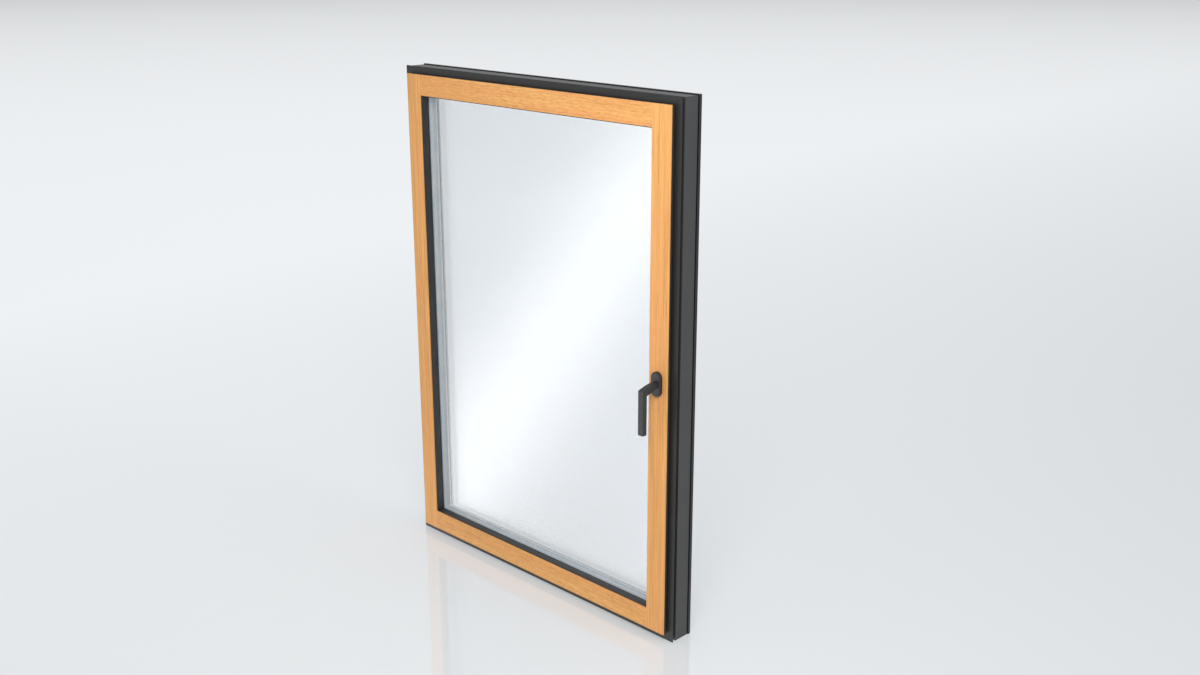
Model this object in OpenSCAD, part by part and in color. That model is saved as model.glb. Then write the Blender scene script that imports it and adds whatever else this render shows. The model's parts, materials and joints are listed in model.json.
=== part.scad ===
// Side-hung casement window that opens into the room: dark frame, dark sash with
// a timber facing, triple glazing, concealed hinges and an espagnolette lock.
// X runs along the width, Y from the room to the outside, Z up.
// The origin is the centre of the sill's underside.

/* [Window] */
// Overall width of the frame
window_w = 1070; // [800:10:1400]
// Overall height of the frame
window_h = 1480; // [1200:10:2000]
// Frame margin that shows around the closed sash
margin = 21; // [20:1:23]
// Depth of the frame from its room face to its outer face
frame_d = 74; // [74:1:84]

/* [Sash] */
// Width of the timber facing on the hinge stile
stile_hinge_w = 60; // [58:1:66]
// Width of the timber facing on the lock stile
stile_lock_w = 65; // [63:1:72]
// Width of the timber facing on the rails
rail_w = 62; // [60:1:68]
// Thickness of the timber facing
facing_t = 4; // [3:0.5:4.5]
// How far the sash stands proud of the frame, facing included
sash_proud = 16; // [15.5:0.5:17]

/* [Glazing] */
// Thickness of one pane
pane_t = 4; // [3:0.5:5]
// Gap between two panes
pane_gap = 12; // [10:1:12]
// Depth from the timber face to the first pane
reveal_d = 28.7; // [26:0.1:30]

/* [Handle] */
// Length of the grip below the spindle
grip_len = 126; // [100:1:140]
// Width of the grip
grip_w = 18; // [15:0.5:19]
// Thickness of the grip
grip_t = 14.5; // [12:0.5:15]
// How far the grip stands off the timber
grip_reach = 64.5; // [58:0.5:70]
// Width of the rosette
rosette_w = 33; // [30:1:34]
// Height of the rosette
rosette_h = 68; // [66:1:76]

/* [Movement] */
// Number of locking cams on the lock stile, in pairs about the handle
cam_pairs = 2; // [1:1:2]

/* [Hidden] */
$fn = 48;
eps = 0.01;

// Distances called "in" are measured inwards from the frame's outer edge,
// and depths are measured from the frame's room face, positive to the outside.
rest_y = 38;

// Hairline left at a mitre joint between an upright and a rail
mitre_gap = 0.15;

// Frame section
flange_t = 2;
core_inset = 2.5;
groove_w = 12;
groove_h = 8;
core_in = 29;
core_back = 62;
core_wall = 3.5;
cladding_front = 64;
cladding_t = 2;
cladding_in = 55;
lip_in = 45;
lip_front = 63.5;
seal_w = 6;
seal_gap = 0.4;
clip_in = 16;
clip_size = [12, 18];
clip_end = 150;

// Sash section
wood_y = -sash_proud;
sash_y = wood_y + facing_t;
overlap_back = -4;
body_in = 40;
body_back = 58;
bead_back = 60;
lip_back = wood_y + reveal_d - 3;
glass_bite = 12;
block_gap = 3;
facing_step = 2.4;
chamber_wall = 4;
chamber_y = [24, 54];
rebate_chamber_w = 15;

// Hardware groove round the sash, with a face plate over a rod
plate_in = body_in + 2.5;
rod_in = plate_in + 3;
groove_y = 10;
plate_w = 16;
slot_w = 12;
rod_w = 10;
rod_t = 2;
rod_gap = 0.3;
rod_end = 30;

// Glazing unit
glass_y = wood_y + reveal_d;
unit_t = 3 * pane_t + 2 * pane_gap;
spacer_w = 7;
gasket_w = 10;
bead_lip = 3;
packer_len = 100;

// Handle and gear
spindle_x = window_w / 2 - margin - stile_lock_w / 2;
spindle_z = window_h / 2;
spindle_w = 7;
rosette_t = 10;
rosette_wall = 1.5;
rosette_base_t = 5;
collar_r = 8;
neck_r = 10.5;
elbow_drop = 4.2;
screw_pitch = 43;
gear_r = 7.5;
gear_teeth = 15;
gear_m = 2 * gear_r / gear_teeth;
gear_t = 8;
hub_r = 5.6;
case_h = 110;
rod_travel = gear_r * PI / 2;

// Hinges: the pin stands inside the sash's overlap, behind the timber
pin_in = 27;
pin_r = 3;
knuckle_r = 4.4;
pin_y = sash_y + knuckle_r + 0.1;
leaf_h = 62;
leaf_t = 3;
leaf_in = core_in + leaf_t;
leaf_back = 38;
leaf_arm_y = [pin_y - 0.5, pin_y + 5.5];
sash_leaf_in = 60;
sash_leaf_t = 2.5;
knuckle_gap = 0.25;
hinge_end = 130;
hinge_z = [hinge_end, window_h / 2, window_h - hinge_end];

// Locking points
cam_step = [180, 450] * min(1, window_h / 1480);
cam_z = [for (i = [1 : cam_pairs], s = [-1, 1]) spindle_z + s * cam_step[i - 1]];
cam_top_x = 150;
cam_shank_r = 2.7;
cam_shank_h = 7.8;
cam_head_r = 4.3;
cam_head_h = 2;
keep_t = 2;
keep_u = [-22, 36];
keep_holes = [-17, 31];
keep_lip_u = [7, 26];
keep_lip_z = [6.6, 8.2];

// Face plates and the corner drive
corner_leg = 110;
plate_low = min(cam_z) - 90;
plate_high = window_h - body_in - corner_leg;
plate_x = [cam_top_x - 110, window_w / 2 - body_in - corner_leg];
plate_screw_z = [plate_low + 12, spindle_z - 75, spindle_z + 75, plate_high - 12];
plate_screw_x = [plate_x[0] + 8, plate_x[1] - 4];

// Screws: shank radius, length, head radius, head height
keep_screw = [2, 12, 3.4, 1.5];
leaf_screw = [2.4, 18, 4.2, 1.8];
plate_screw = [1.8, 16, 3.2, 1.2];
handle_screw = [2.5, 34, 4.2, 2.8];
sash_screw_r = 2;
sash_screw_len = 16;
leaf_screw_y = 20;
leaf_screw_z = [for (z = hinge_z, s = [-1, 1]) z + s * 22];
sash_screw_in = [49, 56];
sash_screw_step = 20;
keep_screw_y = groove_y + 1;
keep_screw_z = [for (z = cam_z, u = keep_holes) z + u];
keep_screw_x = [for (u = keep_holes) cam_top_x - u];

// Frame fixing holes through the jambs
fix_r = 3.8;
fix_y = 38;
fix_z = [220, window_h / 2 - 80, window_h - 220];

sides = ["left", "right", "bottom", "top"];

anthracite = [0.22, 0.22, 0.23];
black = [0.07, 0.07, 0.075];
timber = [0.86, 0.60, 0.33];
steel = [0.62, 0.63, 0.65];
clear = [0.82, 0.90, 0.93, 0.35];

// ---- placing and cutting ----

// Distance from the frame's outer edge to the edge of the glass that shows
function sight_in(side) = margin + (side == "left" ? stile_hinge_w
    : side == "right" ? stile_lock_w : rail_w);

// A rectangle [x0, z0, x1, z1], inset from the frame's outer edge on each side
function inset(left, right, rail) =
    [-window_w / 2 + left, rail, window_w / 2 - right, window_h - rail];
function inset_all(d) = inset(d, d, d);
function grown(r, d) = [r[0] - d, r[1] - d, r[2] + d, r[3] + d];

sight = inset(sight_in("left"), sight_in("right"), sight_in("top"));
glass = grown(sight, glass_bite);
sash_rect = inset_all(margin);

module in_place() translate([0, -rest_y, 0]) children();

// A box given by its corners
module block(x, y, z) translate([x[0], y[0], z[0]])
    cube([x[1] - x[0], y[1] - y[0], z[1] - z[0]]);

// Carries an (in, depth) outline along one side of the window
module run(side) {
    if (side == "left")
        translate([-window_w / 2, 0, 0]) linear_extrude(window_h) children();
    if (side == "right")
        mirror([1, 0, 0]) translate([-window_w / 2, 0, 0]) linear_extrude(window_h) children();
    if (side == "bottom")
        rotate([0, -90, 0]) linear_extrude(window_w, center = true) children();
    if (side == "top")
        translate([0, 0, window_h]) mirror([0, 0, 1]) rotate([0, -90, 0])
            linear_extrude(window_w, center = true) children();
}

// Cuts a side's two ends along the lines between an outer and an inner rectangle,
// with the hairline of a mitre joint between an upright and a rail
module mitred(side, o, i) {
    g = mitre_gap;
    ends = side == "left"
        ? [[o[0], o[1] + g], [i[0], i[1] + g], [i[0], i[3] - g], [o[0], o[3] - g]]
        : side == "right"
        ? [[o[2], o[1] + g], [o[2], o[3] - g], [i[2], i[3] - g], [i[2], i[1] + g]]
        : side == "bottom" ? [[o[0], o[1]], [o[2], o[1]], [i[2], i[1]], [i[0], i[1]]]
        : [[o[0], o[3]], [i[0], i[3]], [i[2], i[3]], [o[2], o[3]]];
    intersection() {
        children();
        translate([0, 150, 0]) rotate([90, 0, 0]) linear_extrude(300) polygon(ends);
    }
}

// A flat ring between two rectangles
module ring(o, i, y) difference() {
    block([o[0], o[2]], y, [o[1], o[3]]);
    block([i[0], i[2]], [y[0] - 1, y[1] + 1], [i[1], i[3]]);
}

// A cylinder along X, Y or Z, from one place to another
module rod_x(x, y, z, r) translate([x[0], y, z]) rotate([0, 90, 0]) cylinder(x[1] - x[0], r, r);
module rod_y(x, y, z, r) translate([x, y[1], z]) rotate([90, 0, 0]) cylinder(y[1] - y[0], r, r);
module rod_z(x, y, z, r) translate([x, y, z[0]]) cylinder(z[1] - z[0], r, r);

// ---- frame ----

module frame_section(side) {
    edge = side == "bottom" ? 0 : core_inset;
    groove_back = flange_t + groove_w;
    difference() {
        polygon([[edge + groove_h, flange_t], [core_in, flange_t], [core_in, core_back],
            [edge, core_back], [edge, groove_back], [edge + groove_h, groove_back]]);
        translate([edge + core_wall, groove_back + core_wall])
            square([core_in - edge - 2 * core_wall, core_back - groove_back - 2 * core_wall]);
        translate([edge + groove_h + core_wall, flange_t + core_wall])
            square([core_in - edge - groove_h - 2 * core_wall, groove_w - core_wall]);
    }
}

module frame_member(side) {
    outer = [-window_w / 2 + core_inset, 0, window_w / 2 - core_inset, window_h - core_inset];
    color(anthracite) in_place() difference() {
        mitred(side, outer, inset_all(core_in)) run(side) frame_section(side);
        if (side == "left") {
            for (z = fix_z) rod_x([-window_w / 2, -window_w / 2 + core_in + 1], fix_y, z, fix_r);
            for (z = leaf_screw_z) frame_pilot(z);
        }
        if (side == "right") {
            for (z = fix_z) rod_x([window_w / 2 - core_in - 1, window_w / 2], fix_y, z, fix_r);
            for (z = keep_screw_z)
                rod_x([window_w / 2 - core_in - 1, window_w / 2 - keep_pilot_in],
                    keep_screw_y, z, keep_screw[0]);
        }
        if (side == "top")
            for (x = keep_screw_x)
                rod_z(x, keep_screw_y, [window_h - core_in - 1, window_h - keep_pilot_in],
                    keep_screw[0]);
    }
}
keep_pilot_in = core_in - keep_screw[1] - 1;
module frame_head() frame_member("top");
module frame_sill() frame_member("bottom");
module frame_jamb_left() frame_member("left");
module frame_jamb_right() frame_member("right");

// Room-side cover with a flange that stands past the frame's sides
module frame_cover(side) color(anthracite) in_place()
    mitred(side, inset_all(0), inset_all(core_in)) run(side) square([core_in, flange_t]);
module cover_head() frame_cover("top");
module cover_sill() frame_cover("bottom");
module cover_left() frame_cover("left");
module cover_right() frame_cover("right");

module outer_cladding() color(black) in_place() for (side = sides)
    mitred(side, inset_all(0), inset_all(cladding_in)) run(side)
        polygon([[0, cladding_front], [0, frame_d], [cladding_in, frame_d],
            [cladding_in, lip_front], [lip_in, lip_front], [lip_in, lip_front + cladding_t],
            [cladding_in - cladding_t, lip_front + cladding_t],
            [cladding_in - cladding_t, frame_d - cladding_t],
            [cladding_t, frame_d - cladding_t], [cladding_t, cladding_front]]);

module cladding_clips() color("dimgray") in_place() {
    y = [core_back, frame_d - cladding_t];
    thin = clip_size[0] / 2;
    long = clip_size[1] / 2;
    for (i = [0 : 3]) {
        z = clip_end + i * (window_h - 2 * clip_end) / 3;
        x = -window_w / 2 + clip_end + i * (window_w - 2 * clip_end) / 3;
        for (edge = [-window_w / 2 + clip_in, window_w / 2 - clip_in])
            block([edge - thin, edge + thin], y, [z - long, z + long]);
        for (edge = [clip_in, window_h - clip_in])
            block([x - long, x + long], y, [edge - thin, edge + thin]);
    }
}

// L-shaped keys in the hollow profiles, one at each corner of a rectangle
module corner_keys(r, depth, w, leg) {
    for (sx = [0, 1], sz = [0, 1]) {
        x = sx == 0 ? r[0] : r[2];
        z = sz == 0 ? r[1] : r[3];
        dx = sx == 0 ? 1 : -1;
        dz = sz == 0 ? 1 : -1;
        block([min(x, x + dx * w), max(x, x + dx * w)], depth,
            [min(z, z + dz * leg), max(z, z + dz * leg)]);
        block([min(x, x + dx * leg), max(x, x + dx * leg)], depth,
            [min(z, z + dz * w), max(z, z + dz * w)]);
    }
}
module frame_corner_keys() color(steel) in_place()
    corner_keys(r = inset_all(8), depth = [22, 54], w = 14, leg = 60);

// Bulb seal in the cladding's lip, which the closed sash presses on
module outer_seal() color(black) in_place()
    ring(inset_all(lip_in + 1), inset_all(lip_in + 1 + seal_w), [bead_back + seal_gap, lip_front]);

// Hoods over the drain slots, open underneath
module drain_caps() color(black) in_place() for (s = [-1, 1]) translate([s * window_w / 3, 0, 0]) {
    w = 40;
    h = 10;
    out = 4;
    wall = 1.5;
    low = 14;
    difference() {
        block([-w / 2, w / 2], [frame_d, frame_d + out], [low, low + h]);
        block([-w / 2 + wall, w / 2 - wall], [frame_d - 1, frame_d + out - wall],
            [low - 1, low + h - wall]);
    }
}

// Ramped block that lifts the free corner of the sash as it closes
module run_up_block() color("dimgray") in_place() {
    w = 50;
    flat = 20;
    toe_h = 3;
    top_h = body_in - core_in - 0.6;
    translate([window_w / 2 - 80, 44, core_in]) rotate([90, 0, 0]) linear_extrude(32)
        polygon([[-w / 2, 0], [w / 2, 0], [w / 2, toe_h], [flat / 2, top_h],
            [-flat / 2, top_h], [-w / 2, toe_h]]);
}

// ---- keeps and cams ----

// Local frame: +X along the rod away from the opening stroke, Y depth,
// +Z from the frame's rebate towards the sash
module keep() {
    slot = 6;
    lip_w = 4;
    wall = 1.8;
    w = slot + 2 * lip_w + 2;
    difference() {
        block(keep_u, [keep_screw_y - w / 2, keep_screw_y + w / 2], [0, keep_t]);
        for (u = keep_holes) rod_z(u, keep_screw_y, [-1, keep_t + 1], keep_screw[0]);
    }
    for (s = [-1, 1]) {
        lip_y = groove_y + s * (slot + lip_w) / 2;
        wall_y = groove_y + s * (slot / 2 + lip_w - wall / 2);
        block(keep_lip_u, [lip_y - lip_w / 2, lip_y + lip_w / 2], keep_lip_z);
        block(keep_lip_u, [wall_y - wall / 2, wall_y + wall / 2],
            [keep_t - eps, keep_lip_z[0] + eps]);
    }
}

module keeps_side() color(steel) in_place() for (z = cam_z)
    translate([window_w / 2 - core_in, 0, z]) rotate([0, -90, 0]) keep();
module keep_top() color(steel) in_place()
    translate([cam_top_x, 0, window_h - core_in]) rotate([0, 180, 0]) keep();

// A pan-head screw along Z, its head on top of z = 0
module screw(s) {
    translate([0, 0, -s[1]]) cylinder(s[1] + eps, s[0], s[0]);
    cylinder(s[3], s[2], s[2] - 0.6);
}
module keep_screws() color("silver") in_place() {
    for (z = keep_screw_z)
        translate([window_w / 2 - core_in - keep_t, keep_screw_y, z]) rotate([0, -90, 0])
            screw(keep_screw);
    for (x = keep_screw_x)
        translate([x, keep_screw_y, window_h - core_in - keep_t]) rotate([180, 0, 0])
            screw(keep_screw);
}

// A cam on a rod: shank through the face plate, mushroom head towards the keep
module cam() {
    cylinder(cam_shank_h, cam_shank_r, cam_shank_r);
    translate([0, 0, cam_shank_h - 0.2]) cylinder(cam_head_h, cam_head_r, cam_head_r);
}
module cams_side() color("silver") in_place() for (z = cam_z)
    translate([window_w / 2 - plate_in - rod_gap, groove_y, z]) rotate([0, 90, 0]) cam();
module cam_top() color("silver") in_place()
    translate([cam_top_x, groove_y, window_h - plate_in - rod_gap]) cam();

// ---- hinges ----

module on_pin(z, r) rod_z(-window_w / 2 + pin_in, pin_y, z, r);
module frame_pilot(z)
    rod_x([-window_w / 2 + leaf_in - leaf_screw[1] - 2, -window_w / 2 + leaf_in + 1],
        leaf_screw_y, z, leaf_screw[0]);

module hinge_frame_leaf(zc) color(steel) in_place() difference() {
    x0 = -window_w / 2;
    low = [zc - leaf_h / 2, zc - knuckle_gap];
    union() {
        on_pin(low, knuckle_r);
        block([x0 + pin_in, x0 + leaf_in], leaf_arm_y, low);
        block([x0 + core_in, x0 + leaf_in], [leaf_arm_y[1] - eps, leaf_back],
            [zc - leaf_h / 2, zc + leaf_h / 2]);
    }
    on_pin([zc - leaf_h, zc + leaf_h], pin_r);
    for (z = leaf_screw_z) frame_pilot(z);
}
module hinge_frame_leaf_bottom() hinge_frame_leaf(hinge_z[0]);
module hinge_frame_leaf_middle() hinge_frame_leaf(hinge_z[1]);
module hinge_frame_leaf_top() hinge_frame_leaf(hinge_z[2]);

module hinge_pins() color("silver") in_place() for (zc = hinge_z)
    on_pin([zc - leaf_h / 2 + 1, zc + leaf_h / 2 - 1], pin_r);

module hinge_frame_screws() color("silver") in_place() for (z = leaf_screw_z)
    translate([-window_w / 2 + leaf_in, leaf_screw_y, z]) rotate([0, 90, 0]) screw(leaf_screw);

module hinge_sash_leaf(zc) color(steel) in_place() difference() {
    x0 = -window_w / 2;
    upper = [zc + knuckle_gap, zc + leaf_h / 2];
    y = [sash_y, sash_y + sash_leaf_t];
    union() {
        on_pin(upper, knuckle_r);
        block([x0 + pin_in, x0 + sash_leaf_in], y, upper);
        block([x0 + body_in - 2, x0 + sash_leaf_in], y,
            [zc - leaf_h / 2, zc + knuckle_gap + eps]);
    }
    on_pin([zc - leaf_h, zc + leaf_h], pin_r + 0.05);
    sash_leaf_holes(zc);
}
module sash_leaf_holes(zc) for (a = sash_screw_in, s = [-1, 1])
    rod_y(-window_w / 2 + a, [sash_y - 1, sash_y + sash_screw_len + 1],
        zc + s * sash_screw_step, sash_screw_r);
module hinge_sash_leaf_bottom() hinge_sash_leaf(hinge_z[0]);
module hinge_sash_leaf_middle() hinge_sash_leaf(hinge_z[1]);
module hinge_sash_leaf_top() hinge_sash_leaf(hinge_z[2]);
module hinge_sash_screws() color("silver") in_place()
    for (zc = hinge_z, a = sash_screw_in, s = [-1, 1])
        rod_y(-window_w / 2 + a, [sash_y + 0.2, sash_y + sash_screw_len],
            zc + s * sash_screw_step, sash_screw_r);

// ---- sash ----

module sash_section(side) {
    a = sight_in(side);
    rebate = a - glass_bite - block_gap;
    half = plate_w / 2;
    slot = slot_w / 2;
    difference() {
        polygon([[margin, sash_y], [a, sash_y], [a, lip_back], [rebate, lip_back],
            [rebate, body_back], [body_in, body_back],
            [body_in, groove_y + half], [plate_in, groove_y + half], [plate_in, groove_y + slot],
            [rod_in, groove_y + slot], [rod_in, groove_y - slot], [plate_in, groove_y - slot],
            [plate_in, groove_y - half], [body_in, groove_y - half],
            [body_in, overlap_back], [margin, overlap_back]]);
        translate([body_in + chamber_wall, chamber_y[0]])
            square([rebate - body_in - 2 * chamber_wall + 0.5, chamber_y[1] - chamber_y[0]]);
        translate([a - 3 - rebate_chamber_w, sash_y + 3])
            square([rebate_chamber_w, lip_back - sash_y - 6]);
    }
}

module sash_member(side) color(black) in_place() difference() {
    mitred(side, sash_rect, sight) run(side) sash_section(side);
    if (side == "left") {
        x0 = -window_w / 2;
        knuckle_in = body_in - 2.5;
        for (zc = hinge_z) {
            z = [zc - leaf_h / 2 - 1, zc + leaf_h / 2 + 1];
            block([x0 + margin - 1, x0 + knuckle_in], [sash_y - 1, overlap_back + 1], z);
            block([x0 + knuckle_in - 0.5, x0 + sash_leaf_in + 0.5],
                [sash_y - 1, sash_y + sash_leaf_t], z);
            sash_leaf_holes(zc);
        }
    }
    if (side == "right") {
        handle_holes(sash_y - 1, 3);
        block([spindle_x - 12, window_w / 2 - rod_in + 0.1], [groove_y - 8.5, groove_y + 8.5],
            [spindle_z - case_h / 2 - 2, spindle_z + case_h / 2 + 2]);
        for (z = plate_screw_z)
            rod_x([window_w / 2 - pilot_in, window_w / 2 - rod_in + 1], groove_y, z, plate_screw[0]);
    }
    if (side == "top")
        for (x = plate_screw_x)
            rod_z(x, groove_y, [window_h - pilot_in, window_h - rod_in + 1], plate_screw[0]);
}
pilot_in = body_in + plate_screw[1] + 4;
module sash_stile_hinge() sash_member("left");
module sash_stile_lock() sash_member("right");
module sash_rail_top() sash_member("top");
module sash_rail_bottom() sash_member("bottom");

// Holes for the spindle and the two rosette screws
module handle_holes(y0, y1) {
    rod_y(spindle_x, [y0, y1], spindle_z, 6);
    for (s = [-1, 1]) rod_y(spindle_x, [y0, y1], spindle_z + s * screw_pitch / 2, 3);
}

// The timber facing: stiles run the full height, rails stand between them,
// and a thin step of the dark profile shows between the timber and the opening
module facing_stile(x) block(x, [wood_y, sash_y], [sash_rect[1], sash_rect[3]]);
module facing_rail(z)
    block([sight[0] - facing_step, sight[2] + facing_step], [wood_y, sash_y], z);
module facing_stile_hinge() color(timber) in_place()
    facing_stile([sash_rect[0], sight[0] - facing_step]);
module facing_stile_lock() color(timber) in_place() difference() {
    facing_stile([sight[2] + facing_step, sash_rect[2]]);
    handle_holes(wood_y - 1, sash_y + 1);
}
module facing_rail_top() color(timber) in_place()
    facing_rail([sight[3] + facing_step, sash_rect[3]]);
module facing_rail_bottom() color(timber) in_place()
    facing_rail([sash_rect[1], sight[1] - facing_step]);

module sash_corner_keys() color(steel) in_place()
    corner_keys(r = inset_all(body_in + 6), depth = [26, 52], w = 12, leg = 55);

// Outer beads: a plate over the stile's back with a slanted leg that holds the glass
module sash_outer_beads() color(black) in_place() for (side = sides) {
    a = sight_in(side) - bead_lip;
    tip = glass_y + unit_t + bead_lip;
    foot = 2.8;
    slant = bead_back - tip;
    mitred(side, sash_rect, sight) run(side)
        polygon([[body_in + 1, body_back], [body_in + 1, bead_back], [a - slant, bead_back],
            [a, tip], [a - foot, tip], [a - foot - body_back + tip, body_back]]);
}

// Rebate seal on the back of the sash's overlap, cut out round the hinges
module inner_seal() color(black) in_place() difference() {
    ring(inset_all(core_in + 0.6), inset_all(core_in + 6), [overlap_back, 1.5]);
    for (zc = hinge_z)
        block([-window_w / 2, -window_w / 2 + body_in], [overlap_back - 1, 3],
            [zc - leaf_h / 2 - 2, zc + leaf_h / 2 + 2]);
}

// ---- glazing unit ----

module pane(i) color(clear) in_place() {
    y = glass_y + i * (pane_t + pane_gap);
    block([glass[0], glass[2]], [y, y + pane_t], [glass[1], glass[3]]);
}
module pane_inner() pane(0);
module pane_middle() pane(1);
module pane_outer() pane(2);

function gap_y(i) = [glass_y + (i + 1) * pane_t + i * pane_gap,
    glass_y + (i + 1) * (pane_t + pane_gap)];
module spacer(i) color([0.70, 0.75, 0.77]) in_place()
    ring(grown(sight, spacer_w + 0.5), grown(sight, 0.5), gap_y(i));
module spacer_inner() spacer(0);
module spacer_outer() spacer(1);
module edge_seal() color(black) in_place() for (i = [0, 1])
    ring(glass, grown(sight, spacer_w + 0.5), gap_y(i));

module glazing_gasket_inner() color(black) in_place()
    ring(grown(sight, gasket_w), grown(sight, 0.5), [lip_back, glass_y]);
module glazing_gasket_outer() color(black) in_place()
    ring(grown(sight, gasket_w), grown(sight, bead_lip),
        [glass_y + unit_t, glass_y + unit_t + bead_lip]);

// Packers between the glass edge and the sash, two on each side
module glazing_blocks() color("dimgray") in_place() {
    y = [glass_y, glass_y + unit_t];
    half = packer_len / 2;
    for (f = [0.12, 0.88]) {
        x = glass[0] + f * (glass[2] - glass[0]);
        z = glass[1] + f * (glass[3] - glass[1]);
        for (s = [glass[1] - block_gap, glass[3]])
            block([x - half, x + half], y, [s, s + block_gap]);
        for (s = [glass[0] - block_gap, glass[2]])
            block([s, s + block_gap], y, [z - half, z + half]);
    }
}

// ---- lock gear ----

// Straight-flanked teeth: half widths at the root, the pitch line and the tip
tooth_root = 1.15 * gear_m;
tooth_tip = 0.9 * gear_m;
half_pitch = 0.6 * gear_m;
half_root = half_pitch + tooth_root * tan(20);
half_tip = half_pitch - tooth_tip * tan(20);

module gear_outline() polygon([for (i = [0 : gear_teeth - 1],
        p = [[gear_r - tooth_root, -half_root], [gear_r + tooth_tip, -half_tip],
            [gear_r + tooth_tip, half_tip], [gear_r - tooth_root, half_root]])
    let (a = (i + 0.5) * 360 / gear_teeth)
    [p[0] * cos(a) - p[1] * sin(a), p[0] * sin(a) + p[1] * cos(a)]]);

module gear_pinion() color("silver") in_place() difference() {
    union() {
        translate([spindle_x, groove_y, spindle_z]) rotate([90, 0, 0])
            linear_extrude(gear_t, center = true) gear_outline();
        rod_y(spindle_x, [groove_y - 7.6, groove_y + 7.6], spindle_z, hub_r);
    }
    square_bar([groove_y - 15, groove_y + 10], spindle_w + 0.1);
}
module square_bar(y, w) block([spindle_x - w / 2, spindle_x + w / 2], y,
    [spindle_z - w / 2, spindle_z + w / 2]);

module gear_case() color(steel) in_place() difference() {
    block([spindle_x - 11.4, window_w / 2 - rod_in - 1.9], [groove_y - 8, groove_y + 8],
        [spindle_z - case_h / 2, spindle_z + case_h / 2]);
    rod_y(spindle_x, [groove_y - gear_t / 2 - 0.5, groove_y + gear_t / 2 + 0.5], spindle_z,
        gear_r + tooth_tip + 0.8);
    rod_y(spindle_x, [groove_y - 10, groove_y + 10], spindle_z, hub_r + 0.05);
    for (s = [-1, 1])
        rod_y(spindle_x, [groove_y - 10, groove_y + 4], spindle_z + s * screw_pitch / 2,
            handle_screw[0]);
}

module lock_rod_side() color("silver") in_place() {
    x = window_w / 2 - plate_in - rod_gap;
    root = spindle_x + gear_r + tooth_root;
    slot = plate_screw[0] + 0.4;
    difference() {
        block([x - rod_t, x], [groove_y - rod_w / 2, groove_y + rod_w / 2],
            [min(cam_z) - rod_end, max(cam_z) + rod_end]);
        for (z = [plate_screw_z[1], plate_screw_z[2]])
            block([x - rod_t - 1, x + 1], [groove_y - slot, groove_y + slot],
                [z - slot, z + rod_travel + slot]);
    }
    translate([0, groove_y, spindle_z]) rotate([90, 0, 0])
        linear_extrude(gear_t, center = true)
            for (i = [-6 : 6]) translate([0, i * gear_m * PI])
                polygon([[root + 1, -half_root], [root, -half_root],
                    [root - tooth_root - tooth_tip, -half_tip],
                    [root - tooth_root - tooth_tip, half_tip], [root, half_root],
                    [root + 1, half_root]]);
}
module lock_rod_top() color("silver") in_place() {
    z = window_h - plate_in - rod_gap;
    block([plate_x[0] + 20, plate_x[1] - 25], [groove_y - rod_w / 2, groove_y + rod_w / 2],
        [z - rod_t, z]);
}

// Slots let the cams travel with the rods
module faceplates() color(steel) in_place() {
    y = [groove_y - plate_w / 2, groove_y + plate_w / 2];
    slot = [-rod_travel - cam_shank_r - 0.8, cam_shank_r + 0.8];
    difference() {
        block([window_w / 2 - plate_in, window_w / 2 - body_in], y, [plate_low, plate_high - 0.3]);
        for (z = cam_z)
            block([window_w / 2 - plate_in - 1, window_w / 2 - body_in + 1],
                [groove_y - 3, groove_y + 3], [z + slot[0], z + slot[1]]);
        for (z = plate_screw_z)
            rod_x([window_w / 2 - plate_in - 1, window_w / 2], groove_y, z, plate_screw[0]);
    }
    difference() {
        block([plate_x[0], plate_x[1] - 0.3], y, [window_h - plate_in, window_h - body_in]);
        block([cam_top_x - slot[1], cam_top_x - slot[0]], [groove_y - 3, groove_y + 3],
            [window_h - plate_in - 1, window_h - body_in + 1]);
        for (x = plate_screw_x)
            rod_z(x, groove_y, [window_h - plate_in - 1, window_h], plate_screw[0]);
    }
}
module faceplate_screws() color("silver") in_place() {
    for (z = plate_screw_z)
        translate([window_w / 2 - body_in, groove_y, z]) rotate([0, 90, 0]) screw(plate_screw);
    for (x = plate_screw_x)
        translate([x, groove_y, window_h - body_in]) screw(plate_screw);
}

// Corner drive: an angle in the groove that guides the steel strip between the rods
module corner_drive() color(steel) in_place() {
    x = window_w / 2 - body_in;
    z = window_h - body_in;
    plate_t = plate_in - body_in;
    corner_angle(x, z, t = plate_t, w = plate_w, leg = corner_leg);
    corner_angle(x - plate_t - 0.2, z - plate_t - 0.2, t = rod_t, w = rod_w,
        leg = corner_leg - 12);
}
module corner_angle(x, z, t, w, leg) {
    y = [groove_y - w / 2, groove_y + w / 2];
    block([x - t, x], y, [z - leg, z]);
    block([x - leg, x - t + eps], y, [z - t, z]);
}

// ---- handle ----

module stadium(w, h) {
    for (s = [-1, 1]) translate([0, s * (h - w) / 2]) circle(w / 2);
    square([w, h - w], center = true);
}
module stadium_block(w, h, y) translate([spindle_x, y[1], spindle_z]) rotate([90, 0, 0])
    linear_extrude(y[1] - y[0]) stadium(w, h);

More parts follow.
